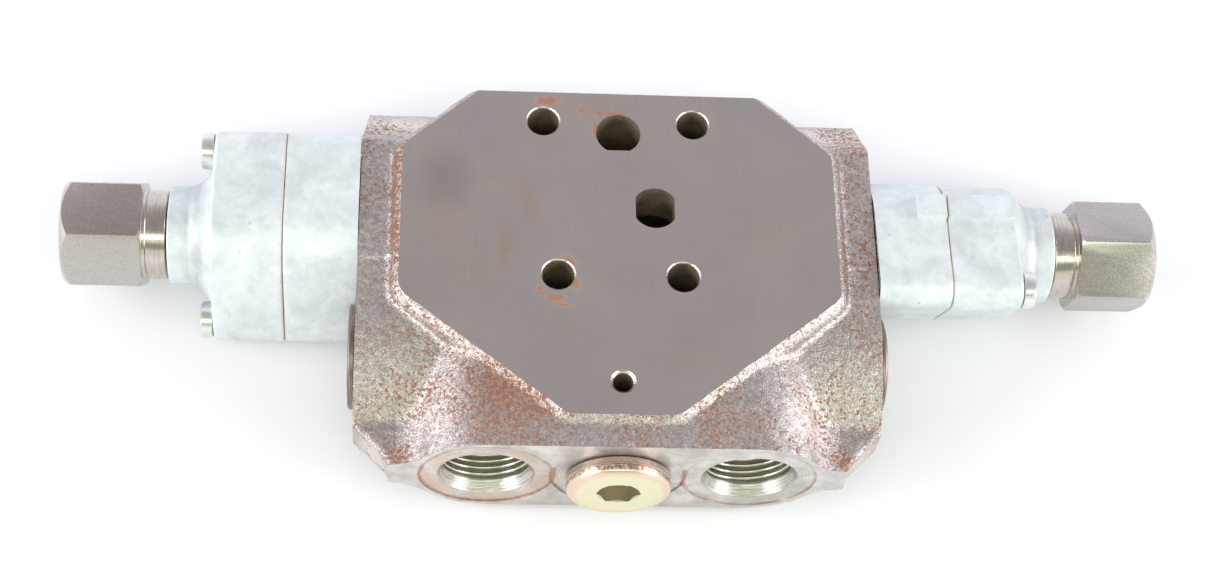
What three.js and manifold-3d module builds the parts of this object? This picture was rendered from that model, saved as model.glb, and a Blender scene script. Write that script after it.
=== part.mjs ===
// One section of a stacked hydraulic directional control valve, pilot operated at both ends.
// Millimetres. X runs along the spool, +Y away from the work ports, +Z through the stack.
// The section lies on its back face at z = 0, under the middle of the spool.
import * as THREE from 'three';
import { mergeVertices } from 'three/addons/utils/BufferGeometryUtils.js';
import Module from 'manifold-3d';

const wasm = await Module();
wasm.setup();

// Driving dimensions
const pitch = 48;               // thickness between the two mating faces
const mid = pitch / 2;          // height of the spool and of the port axes
const bodyHalf = 80.4;          // half length of the casting along the spool
const portFace = -80.4;         // machined face with the work ports
const backEdge = 41.8;
const rim = 2;                  // round between a mating face and the cast skin
const portSpacing = 40;         // centre plug to work port
const spotRadius = 20.5;
const spotDepth = 0.4;
const bossRadius = 22.3;
const flangeHalf = 6.8;         // half thickness of the corner flange
const shoulderHalf = 19.5;      // half thickness of the spool boss
const spoolRadius = 9.9;
const spoolBore = 10.05;
const seam = 103.6;             // spring housing meets end cap
const capEnd = 126.2;
const bossEnd = 139.8;
const hexStart = 147.6;
const hexEnd = 172.2;
const hexAcross = 31.75;
const faceGap = 0.2;            // room for the joint line between two housings
const lug = { y: 21.5, z: 15.9, radius: 6.4 };
const capRadius = 21.6;
const tieRods = [[-23.7, 31], [23.7, 31], [-19.2, -23.9], [19.2, -23.9]];
const supply = { x: 11.1, y: 0.2, radius: 7.1, flat: 6.1 };
const tank = { x: 0, y: 26.9, radius: 7.05, flat: 6.1 };
const loadSense = { y: -59.7, radius: 3.1 };
const cavity = { y: -41.5, radius: 12.2, flange: 16.3, proud: 2 };

// Materials
function finish(color, roughness, metalness) {
  return new THREE.MeshStandardMaterial({ color, roughness, metalness });
}
const castIron = finish('#8e857f', 0.6, 0.5);
const dieCast = finish('#d9e0e4', 0.5, 0.6);
const steel = finish('#857d7a', 0.4, 0.9);
const hardSteel = finish('#a8a6a4', 0.25, 1);
const zincPlate = finish('#d4d8d6', 0.3, 0.9);
const yellowZinc = finish('#cfc58c', 0.35, 0.8);
const springSteel = finish('#6f7072', 0.4, 0.9);
const nitrile = finish('#1d1d1f', 0.7, 0);

// Closed shapes as manifold solids
function toSolid(geometry) {
  const bare = geometry.clone();
  bare.deleteAttribute('normal');
  bare.deleteAttribute('uv');
  const merged = mergeVertices(bare, 1e-4);
  const index = Array.from(merged.index.array);
  const triangles = [];
  for (let i = 0; i < index.length; i += 3) {
    const [a, b, c] = index.slice(i, i + 3);
    if (a !== b && b !== c && a !== c) triangles.push(a, b, c);
  }
  const vertices = merged.attributes.position.array;
  if (signedVolume(vertices, triangles) < 0) {
    for (let i = 0; i < triangles.length; i += 3) {
      [triangles[i], triangles[i + 1]] = [triangles[i + 1], triangles[i]];
    }
  }
  return new wasm.Manifold(new wasm.Mesh({
    numProp: 3,
    vertProperties: new Float32Array(vertices),
    triVerts: new Uint32Array(triangles),
  }));
}

function signedVolume(vertices, triangles) {
  const corner = (i) => new THREE.Vector3().fromArray(vertices, 3 * i);
  let volume = 0;
  for (let i = 0; i < triangles.length; i += 3) {
    const [a, b, c] = triangles.slice(i, i + 3).map(corner);
    volume += a.dot(b.cross(c)) / 6;
  }
  return volume;
}

// A length along one axis is turned to that axis here; shapes are drawn along +Y or +Z first
const alongFromY = {
  x: new THREE.Matrix4().makeRotationZ(-Math.PI / 2),
  y: new THREE.Matrix4(),
  z: new THREE.Matrix4().makeRotationX(Math.PI / 2),
};
const planes = {
  x: new THREE.Matrix4().set(0, 0, 1, 0, 1, 0, 0, 0, 0, 1, 0, 0, 0, 0, 0, 1), // draws (y, z)
  y: new THREE.Matrix4().set(1, 0, 0, 0, 0, 0, 1, 0, 0, 1, 0, 0, 0, 0, 0, 1), // draws (x, z)
  z: new THREE.Matrix4(),                                                    // draws (x, y)
};

function round(axis, radius, start, end, at = [0, 0, 0], { sides = 24, endRadius = radius } = {}) {
  const bar = new THREE.CylinderGeometry(endRadius, radius, end - start, sides);
  bar.translate(0, (start + end) / 2, 0);
  bar.applyMatrix4(alongFromY[axis]);
  bar.translate(...at);
  return toSolid(bar);
}

function block(low, high) {
  const size = high.map((value, i) => value - low[i]);
  const box = new THREE.BoxGeometry(...size);
  box.translate(...high.map((value, i) => (value + low[i]) / 2));
  return toSolid(box);
}

function prism(axis, outline, start, end) {
  const shape = new THREE.Shape(outline.map(([a, b]) => new THREE.Vector2(a, b)));
  const bar = new THREE.ExtrudeGeometry(shape, { depth: end - start, bevelEnabled: false });
  bar.translate(0, 0, start);
  bar.applyMatrix4(planes[axis]);
  return toSolid(bar);
}

// profile is a list of [position along the axis, radius], from one end of the axis to the other
function turned(axis, profile, at = [0, 0, 0], sides = 28) {
  const points = [[profile[0][0], 0], ...profile, [profile.at(-1)[0], 0]];
  const lathe = new THREE.LatheGeometry(points.map(([along, r]) => new THREE.Vector2(r, along)), sides);
  lathe.applyMatrix4(alongFromY[axis]);
  lathe.translate(...at);
  return toSolid(lathe);
}

function ring(axis, outer, inner, start, end, at = [0, 0, 0], sides = 28) {
  return round(axis, outer, start, end, at, { sides })
    .subtract(round(axis, inner, start - 1, end + 1, at, { sides }));
}

function oRing(axis, radius, cord, at) {
  const torus = new THREE.TorusGeometry(radius, cord / 2, 5, 18);
  if (axis === 'x') torus.rotateY(Math.PI / 2);
  if (axis === 'y') torus.rotateX(Math.PI / 2);
  torus.translate(...at);
  return toSolid(torus);
}

function hexOutline(across, turn = 0) {
  const corner = across / 2 / Math.cos(Math.PI / 6);
  return Array.from({ length: 6 }, (_, i) => {
    const angle = turn + i * Math.PI / 3;
    return [corner * Math.cos(angle), corner * Math.sin(angle)];
  });
}

// Rounds the corners of a polygon given as [x, y, radius]
function rounded(corners, steps = 4) {
  const outline = [];
  corners.forEach(([x, y, radius], i) => {
    const here = new THREE.Vector2(x, y);
    if (!radius) {
      outline.push([x, y]);
      return;
    }
    const before = new THREE.Vector2(...corners.at(i - 1)).sub(here).normalize();
    const after = new THREE.Vector2(...corners[(i + 1) % corners.length]).sub(here).normalize();
    const half = Math.acos(THREE.MathUtils.clamp(before.dot(after), -1, 1)) / 2;
    const reach = radius / Math.tan(half);
    const first = here.clone().addScaledVector(before, reach);
    const last = here.clone().addScaledVector(after, reach);
    const centre = here.clone().add(before.clone().add(after).normalize()
      .multiplyScalar(radius / Math.sin(half)));
    const from = first.sub(centre);
    const turn = from.angleTo(last.sub(centre)) * Math.sign(from.cross(last));
    for (let k = 0; k <= steps; k += 1) {
      const p = from.clone().rotateAround(new THREE.Vector2(), turn * k / steps).add(centre);
      outline.push([p.x, p.y]);
    }
  });
  return outline;
}

function arc(cx, cy, radius, startDegrees, endDegrees, steps) {
  return Array.from({ length: steps + 1 }, (_, i) => {
    const angle = THREE.MathUtils.degToRad(startDegrees + (endDegrees - startDegrees) * i / steps);
    return [cx + radius * Math.cos(angle), cy + radius * Math.sin(angle)];
  });
}

const mirrored = (half) => [...half, ...half.map(([a, b, r]) => [-a, b, r]).reverse()];
const doubled = (upper) => [...upper, ...upper.map(([a, b]) => [a, 2 * mid - b]).reverse()];

function sum(solids) {
  return solids.reduce((whole, part) => whole.add(part));
}

function cut(solid, tools) {
  return solid.subtract(sum(tools));
}

// Castings of the valve body
function matingPlate() {
  const outline = rounded(mirrored([
    [46.7, backEdge, 0], [67.6, 23.5, 5], [67.6, -30.3, 6], [16.5, -70.4, 3],
  ]), 3);
  const shape = new THREE.Shape(outline.map(([x, y]) => new THREE.Vector2(x, y)));
  const slab = new THREE.ExtrudeGeometry(shape, {
    depth: pitch - 2 * rim, bevelThickness: rim, bevelSize: rim, bevelSegments: 1,
  });
  slab.translate(0, 0, rim);
  const sharpAtTheBack = mirrored([[46.7, backEdge], [90, 4.5], [90, -90]]);
  return toSolid(slab).intersect(prism('z', sharpAtTheBack, -1, pitch + 1));
}

function planOutline() {
  const corner = 12.4;
  return mirrored([
    [bodyHalf - 1.6, backEdge], [bodyHalf, 27], [bodyHalf, portFace + corner],
    [bodyHalf - corner, portFace],
  ]);
}

function shoulders() {
  const slope = 49;             // radius of the long curve down to the corner flange
  const slopeStart = -33;
  const fall = THREE.MathUtils.radToDeg(Math.acos(1 - (shoulderHalf - flangeHalf) / slope));
  const side = doubled([
    [backEdge, mid + 7.5], [25.5, mid + shoulderHalf],
    ...arc(slopeStart, mid + shoulderHalf - slope, slope, 90, 90 + fall, 6),
    [portFace, mid + flangeHalf],
  ]);
  return prism('x', side, -bodyHalf, bodyHalf);
}

function portBosses() {
  const sweep = 14;             // radius of the fillet from boss to flange
  const reach = Math.sqrt((bossRadius + sweep) ** 2 - (flangeHalf + sweep) ** 2);
  const touch = THREE.MathUtils.radToDeg(Math.atan2(flangeHalf + sweep, reach));
  const right = [
    ...arc(portSpacing, mid, bossRadius, 90, touch, 6),
    ...arc(portSpacing + reach, mid + flangeHalf + sweep, sweep, 180 + touch, 270, 4).slice(1),
  ];
  const top = [...right.map(([x, z]) => [-x, z]).reverse(), ...right];
  return prism('y', doubled(top), portFace, -36);
}

function workPort(x) {
  const at = [x, 0, mid];
  return [
    round('y', spotRadius, portFace - 1, portFace + spotDepth, at, { sides: 32 }),
    round('y', 14.6, portFace - 1, portFace + 0.6, at),
    round('y', 14.6, portFace + 0.6, portFace + 3.4, at, { endRadius: 12.6 }),
    round('y', 12.5, portFace, portFace + 19, at),
    round('y', 7, portFace + 18, -2, at),
    round('x', 13, x - 6, x + 6, [0, 0, mid]),
  ];
}

function throughPassage({ x, y, radius, flat }, flatAxis) {
  const hole = round('z', radius, -1, pitch + 1, [x, y, 0]);
  const wide = 2 * radius;
  const slab = flatAxis === 'x'
    ? block([x - flat, y - wide, -1], [x + flat, y + wide, pitch + 1])
    : block([x - wide, y - flat, -1], [x + wide, y + wide, pitch + 1]);
  return hole.intersect(slab);
}

const passageSeal = 9;          // mean radius of the ring round an oil passage
const senseSeal = 6.2;
const faceCord = 1.6;

function faceGroove(x, y, radius) {
  return ring('z', radius + 1, radius - 1, -0.5, 1.8, [x, y, 0], 24);
}

function compensatorBore() {
  const at = [0, 0, mid];
  return [
    round('y', spotRadius, portFace - 1, portFace + spotDepth, at, { sides: 32 }),
    round('y', 13.6, portFace, -64, at),
    round('y', 9.05, -65, -17, at, { sides: 28 }),
    round('y', 4.5, -18, -4, [-4, 0, mid], { sides: 12 }),
    round('y', 2.8, -32, supply.y - 5, [8.4, 0, mid], { sides: 12 }),
    round('x', 2.8, -28.6, 28.6, [0, -34, mid], { sides: 12 }),
    round('y', 2.8, -34, -4, [-28.6, 0, mid], { sides: 12 }),
    round('y', 2.8, -34, -4, [28.6, 0, mid], { sides: 12 }),
  ];
}

function loadSensePassage() {
  const at = [0, loadSense.y, 0];
  return [
    round('z', loadSense.radius, mid, pitch + 1, at),
    round('z', 1.7, 9, mid, at, { sides: 16 }),
    round('z', 4.1, -1, 9.8, at),
  ];
}

function tankPassage() {
  const tools = [round('x', 4, -60, 60, [0, 18, mid], { sides: 12 })];
  for (const side of [-1, 1]) tools.push(round('y', 4, 2, 20, [side * 58, 0, mid], { sides: 12 }));
  return tools;
}

function sideCavity(side) {
  const at = [0, cavity.y, mid];
  const along = (far, near) => [far * side, near * side].sort((a, b) => a - b);
  return [
    round('x', cavity.radius, ...along(60, bodyHalf + 1), at),
    round('x', 5, ...along(46, 61), at, { sides: 16 }),
  ];
}

function screwAxes(side) {
  return [[-lug.y, mid + side * lug.z], [lug.y, mid - side * lug.z]];
}

function valveBody() {
  const casting = sum([matingPlate(), shoulders(), portBosses()])
    .intersect(prism('z', planOutline(), -1, pitch + 1));
  const tools = [
    round('x', spoolBore, -bodyHalf - 1, bodyHalf + 1, [0, 0, mid], { sides: 28 }),
    ...workPort(-portSpacing), ...workPort(portSpacing), ...compensatorBore(),
    throughPassage(supply, 'x'), throughPassage(tank, 'y'), ...tankPassage(), ...loadSensePassage(),
    faceGroove(supply.x, supply.y, passageSeal), faceGroove(tank.x, tank.y, passageSeal),
    faceGroove(0, loadSense.y, senseSeal),
  ];
  for (const [x, y] of tieRods) tools.push(round('z', 5, -1, pitch + 1, [x, y, 0]));
  for (const side of [-1, 1]) {
    tools.push(...sideCavity(side));
    for (const [y, z] of screwAxes(side)) {
      const span = side > 0 ? [64, bodyHalf + 1] : [-bodyHalf - 1, -64];
      tools.push(round('x', 3.1, ...span, [0, y, z], { sides: 16 }));
    }
  }
  return cut(casting, tools);
}

// End pieces are drawn for the +X end; the other end is the same part turned over about Y
function ovalOutline() {
  const lean = Math.atan2(lug.z, -lug.y);
  const reach = Math.hypot(lug.y, lug.z);
  const tangent = Math.acos((capRadius - lug.radius) / reach);
  const degrees = THREE.MathUtils.radToDeg;
  const [a, b] = [degrees(lean - tangent), degrees(lean + tangent)];
  return [
    ...arc(-lug.y, mid + lug.z, lug.radius, a, b, 6),
    ...arc(0, mid, capRadius, b, a + 180, 6),
    ...arc(lug.y, mid - lug.z, lug.radius, a + 180, b + 180, 6),
    ...arc(0, mid, capRadius, b + 180, a + 360, 6),
  ];
}

const padStart = 94.3;

function gaugePad(start, end) {
  return block([start, 0, mid], [end, 8.2, pitch - 0.2]);
}

const chamberRadius = 16;
const sealCord = 1.8;
const sealRadius = 18.4;

function faceSealGroove(start) {
  return ring('x', sealRadius + 1.15, sealRadius - 1.15, start - 0.01, start + 2, [0, 0, mid]);
}

function screwHoles(start, end, radius) {
  return screwAxes(1).map(([y, z]) => round('x', radius, start, end, [0, y, z], { sides: 16 }));
}

function springHousing() {
  const start = bodyHalf + faceGap;
  const end = seam - faceGap / 2;
  const shell = prism('x', ovalOutline(), start, end).add(gaugePad(padStart, end));
  return cut(shell, [
    round('x', chamberRadius, start - 1, seam + 1, [0, 0, mid]),
    faceSealGroove(start), ...screwHoles(start - 1, seam + 1, 3.3),
  ]);
}

function endCap() {
  const start = seam + faceGap / 2;
  const at = [0, 0, mid];
  const shell = sum([
    prism('x', ovalOutline(), start, capEnd), gaugePad(start, capEnd),
    round('x', 20.8, capEnd, capEnd + 6, at, { endRadius: 15.4 }),
    round('x', 15.4, capEnd, bossEnd, at),
  ]);
  return cut(shell, [
    round('x', chamberRadius, start - 1, 120, at), round('x', 4, 119, 130, at, { sides: 20 }),
    round('x', 9, 129, bossEnd + 1, at), round('x', 10.8, bossEnd - 2.4, bossEnd + 1, at),
    faceSealGroove(start), ...screwHoles(start - 1, capEnd + 1, 3.3),
  ]);
}

function capScrew([y, z]) {
  const head = capEnd + 0.05;
  const screw = turned('x', [[67, 2.4], [68, 3], [head, 3], [head, 5.8], [head + 3.4, 5.8],
    [head + 3.9, 5.2]], [0, y, z], 20);
  const socket = hexOutline(5).map(([a, b]) => [y + a, z + b]);
  return screw.subtract(prism('x', socket, head + 1.4, head + 5));
}

function pilotAdapter(turnDegrees) {
  const at = [0, 0, mid];
  const outline = hexOutline(hexAcross, THREE.MathUtils.degToRad(turnDegrees));
  const hex = prism('x', outline.map(([y, z]) => [y, z + mid]), hexStart, hexEnd);
  const chamfer = turned('x', [[hexStart, 17.1], [hexStart + 0.8, 18.6], [hexEnd - 2.8, 18.6],
    [hexEnd, 15.4]], at, 36);
  const stem = turned('x', [[130, 7.6], [131, 8.8], [bossEnd + 0.2, 8.8], [bossEnd + 0.2, 14],
    [hexStart + 0.5, 14]], at);
  return cut(hex.intersect(chamfer).add(stem), [
    round('x', 3, 129, 160, at, { sides: 16 }), round('x', 6.6, 158, hexEnd + 1, at),
    round('x', 6.6, hexEnd - 1.6, hexEnd + 0.01, at, { endRadius: 8.2 }),
  ]);
}

function socketPlug(axis, shank, flange, thickness, length, across) {
  const body = turned(axis, [[-length, shank - 1], [1 - length, shank], [0, shank], [0, flange],
    [thickness - 1, flange], [thickness, flange - 1]], [0, 0, 0], 32);
  const socket = hexOutline(across);
  return body.subtract(prism(axis, socket, thickness - 7, thickness + 1));
}

// Moving pieces and springs
function spool() {
  const neck = 6.2;
  const profile = [[-95, 5], [-94, 6], [-88, 6], [-88, 8.9], [-87, spoolRadius]];
  for (const [start, end] of [[-66, -51], [-28, -2], [4.5, 28], [51, 66]]) {
    profile.push([start, spoolRadius], [start + 1, neck], [end - 1, neck], [end, spoolRadius]);
  }
  profile.push([87, spoolRadius], [88, 8.9], [88, 6], [94, 6], [95, 5]);
  const threads = [[-96, -84], [84, 96]].map((span) => round('x', 2.6, ...span, [0, 0, mid],
    { sides: 12 }));
  return cut(turned('x', profile, [0, 0, mid], 24), threads);
}

function springSeat() {
  return ring('x', 13.5, 6.2, 88.1, 91, [0, 0, mid]);
}

function seatScrew() {
  return turned('x', [[86, 2], [86.6, 2.4], [95.2, 2.4], [95.2, 7.5], [97.4, 7.5], [98.2, 6.6]],
    [0, 0, mid], 16);
}

function springGuide() {
  const at = [0, 0, mid];
  return cut(round('x', 15.6, 118, 119.8, at).add(round('x', 9, 112, 119, at)),
    [round('x', 6, 111, 121, at)]);
}

function coil(axis, meanRadius, wire, start, end, turns, at) {
  const lead = end - start - wire;
  class Helix extends THREE.Curve {
    getPoint(t, target = new THREE.Vector3()) {
      const angle = 2 * Math.PI * turns * t;
      return target.set(meanRadius * Math.cos(angle), meanRadius * Math.sin(angle), lead * t);
    }
  }
  const outline = arc(0, 0, wire / 2, 0, 288, 4).map(([a, b]) => new THREE.Vector2(a, b));
  const section = new THREE.Shape(outline);
  const wireGeometry = new THREE.ExtrudeGeometry(section, {
    steps: Math.round(turns * 7), extrudePath: new Helix(),
  });
  wireGeometry.translate(0, 0, start + wire / 2);
  wireGeometry.applyMatrix4(planes[axis]);
  wireGeometry.translate(...at);
  return toSolid(wireGeometry);
}

function compensatorPiston() {
  const piston = turned('y', [[-46, 8], [-45.4, 8.9], [-38, 8.9], [-36, 6], [-28, 6], [-26, 8.9],
    [-18.6, 8.9], [-18, 8]], [0, 0, mid]);
  return piston.subtract(round('y', 5.2, -47, -34, [0, 0, mid], { sides: 20 }));
}

// Assembly
const valve = new THREE.Group();
const turnedOver = new THREE.Group();
turnedOver.rotation.y = Math.PI;
turnedOver.position.z = pitch;
valve.add(turnedOver);

function place(name, solid, material, group = valve) {
  const { vertProperties, triVerts } = solid.getMesh();
  const geometry = new THREE.BufferGeometry();
  geometry.setAttribute('position', new THREE.BufferAttribute(new Float32Array(vertProperties), 3));
  geometry.setIndex(new THREE.BufferAttribute(new Uint32Array(triVerts), 1));
  geometry.computeVertexNormals();
  const mesh = new THREE.Mesh(geometry, material.clone());
  mesh.name = name;
  group.add(mesh);
  return mesh;
}

place('valve_body', valveBody(), castIron);

// turn: how far each adapter happened to be screwed round when it came tight
for (const [end, group, turn] of [['left', turnedOver, -1.3], ['right', valve, 43.5]]) {
  const axis = [0, 0, mid];
  place(`${end}_spring_housing`, springHousing(), dieCast, group);
  place(`${end}_end_cap`, endCap(), dieCast, group);
  place(`${end}_pilot_adapter`, pilotAdapter(turn), steel, group);
  const [front, back] = screwAxes(1);
  place(`${end}_front_cap_screw`, capScrew(front), zincPlate, group);
  place(`${end}_back_cap_screw`, capScrew(back), zincPlate, group);
  place(`${end}_housing_seal`, oRing('x', sealRadius, sealCord, [bodyHalf + faceGap + 1, 0, mid]),
    nitrile, group);
  place(`${end}_cap_seal`, oRing('x', sealRadius, sealCord, [seam + faceGap / 2 + 1, 0, mid]),
    nitrile, group);
  place(`${end}_adapter_seal`, oRing('x', 9.85, sealCord, [bossEnd - 1.2, 0, mid]), nitrile, group);
  place(`${end}_spring_seat`, springSeat(), hardSteel, group);
  place(`${end}_seat_screw`, seatScrew(), steel, group);
  place(`${end}_spring_guide`, springGuide(), hardSteel, group);
  place(`${end}_centring_spring`, coil('x', 11.2, 2.6, 91.3, 117.7, 5.5, axis), springSteel, group);
  const plug = place(`${end}_cavity_plug`, socketPlug('x', 12, cavity.flange, cavity.proud, 19, 10),
    steel, group);
  plug.position.set(bodyHalf + 0.1, cavity.y, mid);
}

place('spool', spool(), hardSteel);

const washerBack = portFace + spotDepth - 0.1;
const washer = ring('y', 15.8, 13.8, washerBack - 2.5, washerBack, [0, 0, mid], 32);
place('centre_plug_washer', washer, yellowZinc);
const plug = place('centre_plug', socketPlug('y', 13.3, 16, 2.9, 14, 12), yellowZinc);
plug.rotation.z = Math.PI;
plug.position.set(0, portFace - 2.5, mid);

place('compensator_piston', compensatorPiston(), hardSteel);
place('compensator_spring', coil('y', 6.6, 1.8, -66.4, -46.4, 5.5, [0, 0, mid]), springSteel);

const seals = [['supply', supply.x, supply.y, passageSeal], ['tank', tank.x, tank.y, passageSeal],
  ['load_sense', 0, loadSense.y, senseSeal]];
for (const [passage, x, y, radius] of seals) {
  place(`${passage}_seal`, oRing('z', radius, faceCord, [x, y, faceCord / 2 + 0.1]), nitrile);
}

place('shuttle_seat', ring('z', 4, 1.7, 1, 4, [0, loadSense.y, 0], 24), hardSteel);
const ballRadius = 2.6;
const ball = new THREE.SphereGeometry(ballRadius, 14, 8);
ball.translate(0, loadSense.y, 4.05 + Math.sqrt(ballRadius ** 2 - 1.7 ** 2));
place('shuttle_ball', toSolid(ball), hardSteel);

export default valve;
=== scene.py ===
import math

import bmesh
import bpy
import numpy as np
from mathutils import Matrix, Vector


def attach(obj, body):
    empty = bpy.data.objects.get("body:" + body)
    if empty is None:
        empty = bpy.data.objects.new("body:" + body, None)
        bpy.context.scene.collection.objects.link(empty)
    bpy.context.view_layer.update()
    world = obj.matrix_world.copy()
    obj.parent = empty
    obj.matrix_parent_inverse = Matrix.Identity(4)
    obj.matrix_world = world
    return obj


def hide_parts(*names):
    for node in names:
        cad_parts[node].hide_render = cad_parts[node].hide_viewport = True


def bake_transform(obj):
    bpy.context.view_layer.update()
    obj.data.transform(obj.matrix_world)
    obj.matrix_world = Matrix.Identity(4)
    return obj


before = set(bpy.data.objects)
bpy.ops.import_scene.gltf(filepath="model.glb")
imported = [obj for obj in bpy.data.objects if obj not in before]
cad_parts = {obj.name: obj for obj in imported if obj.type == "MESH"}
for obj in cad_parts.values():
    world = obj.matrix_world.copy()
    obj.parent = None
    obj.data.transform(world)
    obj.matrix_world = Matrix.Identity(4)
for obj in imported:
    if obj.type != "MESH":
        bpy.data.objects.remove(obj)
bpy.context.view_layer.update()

mm = 0.001
deep = 48                             # thickness of one section, between its two ground faces
mid = deep / 2                        # height of the spool and of the ports
cavityPlace = -41.5                   # y of the cavity plugs, one at each end of a cross bore
# two screws hold each end: their distance from the spool's axis in y and z, and their lug's radius
lug = {"y": 21.5, "z": 15.9, "radius": 6.4}
print("frame loaded,", len(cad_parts), "CAD nodes")


def screwAxes(side):
    return [(-lug["y"], mid + side * lug["z"]), (lug["y"], mid - side * lug["z"])]


# Colours and nodes

def linear(code, alpha=1.0):
    channels = [int(code[i:i + 2], 16) / 255 for i in (1, 3, 5)]
    return tuple(c / 12.92 if c <= 0.04045 else ((c + 0.055) / 1.055) ** 2.4 for c in channels) + (alpha,)


def addNode(tree, kind, settings=None, links=None):
    node = tree.nodes.new(kind)
    for key, value in (settings or {}).items():
        if isinstance(key, int) or key in node.inputs:
            node.inputs[key].default_value = value
        else:
            setattr(node, key, value)
    for key, source in (links or {}).items():
        tree.links.new(source, node.inputs[key])
    return node


def newMaterial(name, **sockets):
    material = bpy.data.materials.new(name)
    material.use_nodes = True
    shader = material.node_tree.nodes["Principled BSDF"]
    for key, value in sockets.items():
        shader.inputs[key.replace("_", " ")].default_value = value
    return material, material.node_tree, shader


def objectPoint(tree, centre=(0, 0, 0), turn=(0, 0, 0), scale=(1, 1, 1)):
    # the place comes off first, because a mapping node scales and turns before it moves
    coordinates = addNode(tree, "ShaderNodeTexCoord")
    moved = addNode(tree, "ShaderNodeVectorMath", {"operation": "SUBTRACT", 1: [c * mm for c in centre]},
                    {0: coordinates.outputs["Object"]})
    return addNode(tree, "ShaderNodeMapping", {"Rotation": turn, "Scale": scale},
                   {"Vector": moved.outputs[0]}).outputs[0]


def noiseOf(tree, point, size, detail=2.0, roughness=0.5, distortion=0.0):
    # size is the width of one blotch in millimetres
    return addNode(tree, "ShaderNodeTexNoise",
                   {"Scale": 1 / (size * mm), "Detail": detail, "Roughness": roughness,
                    "Distortion": distortion},
                   {"Vector": point}).outputs["Fac"]


def ramp(tree, value, stops):
    # stops are (position, colour or number)
    node = addNode(tree, "ShaderNodeValToRGB", links={"Fac": value})
    elements = node.color_ramp.elements
    while len(elements) < len(stops):
        elements.new(0.5)
    for element, (position, colour) in zip(elements, stops):
        element.position = position
        element.color = linear(colour) if isinstance(colour, str) else (colour, colour, colour, 1)
    return node.outputs["Color"]


def mix(tree, factor, first, second, blend="MIX"):
    node = addNode(tree, "ShaderNodeMixRGB", {"blend_type": blend})
    for key, value in (("Fac", factor), ("Color1", first), ("Color2", second)):
        if isinstance(value, str):
            node.inputs[key].default_value = linear(value)
        elif isinstance(value, (int, float)):
            node.inputs[key].default_value = value if key == "Fac" else (value, value, value, 1)
        else:
            tree.links.new(value, node.inputs[key])
    return node.outputs["Color"]


def maths(tree, operation, first, second=0.0, third=0.0, clamp=False):
    node = addNode(tree, "ShaderNodeMath", {"operation": operation, "use_clamp": clamp})
    for i, value in enumerate((first, second, third)):
        if isinstance(value, (int, float)):
            node.inputs[i].default_value = value
        else:
            tree.links.new(value, node.inputs[i])
    return node.outputs[0]


def bump(tree, shader, height, depth, strength=1.0):
    node = addNode(tree, "ShaderNodeBump", {"Strength": strength, "Distance": depth * mm}, {"Height": height})
    tree.links.new(node.outputs[0], shader.inputs["Normal"])


def spot(tree, centre, radii, turn=0.0):
    # 1 at the centre of an ellipsoid and 0 from its surface outwards; centre and radii in millimetres
    point = objectPoint(tree, centre, (0, 0, -math.radians(turn)), [1 / (r * mm) for r in radii])
    length = addNode(tree, "ShaderNodeVectorMath", {"operation": "LENGTH"}, {0: point}).outputs["Value"]
    return maths(tree, "SUBTRACT", 1.0, length, clamp=True)


def radiusFrom(tree, centre, axis):
    flat = [1.0, 1.0, 1.0]
    flat["xyz".index(axis)] = 0.0
    point = objectPoint(tree, centre, scale=flat)
    return addNode(tree, "ShaderNodeVectorMath", {"operation": "LENGTH"}, {0: point}).outputs["Value"]


# Materials

# the pale tint after the rust colours is the colour of the painted highlights
castLook = {"dark": "#a29a96", "light": "#cac3bf", "rust": "#75432a", "paleRust": "#a8683f",
            "paintedHighlightTint": "#e9e1dc", "grain": 0.48, "speck": 1.05, "patch": 14}
# where rust has settled: centre and radii of each patch in millimetres, and how much it adds
rustPatches = [((-36, -62, 46), (24, 22, 18), 0.14), ((-62, -36, 42), (14, 26, 14), 0.06),
               ((30, -72, 46), (40, 14, 14), 0.05),
               ((-66, -77, 31), (9, 10, 6), 0.16), ((67, -77, 31), (9, 10, 6), 0.14),
               ((74, 10, 44), (10, 60, 10), 0.05),
               ((-58, -62, 36), (12, 16, 14), 0.04), ((59, -60, 36), (12, 16, 14), 0.07),
               ((-74, 34, 38), (12, 14, 9), 0.07),
               ((74, 34, 38), (12, 14, 9), 0.06), ((-69, -3, 46), (3.5, 44, 6), 0.16)]
# painted highlights on the skin, centre and radii in millimetres and how much each adds: a light line along
# the mould line across each shoulder, the two front corners, the back of each shoulder and the flank of each
# outer boss
paintedHighlightPatches = [((-71, -17.3, 43.5), (14, 0.9, 3), 1.0), ((73, -17.3, 43.5), (12, 0.9, 3), 0.9),
                 ((-74.5, -74.5, 24), (9, 9, 8.5), 1.6),
                 ((74.5, -74.5, 24), (9, 9, 8.5), 1.6), ((-66, 36, 38), (24, 9, 12), 1.3),
                 ((66, 36, 38), (24, 9, 12), 1.3),
                 ((57, -68, 38), (13, 16, 12), 1.1), ((-57, -66, 38), (11, 14, 12), 0.6)]


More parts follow.
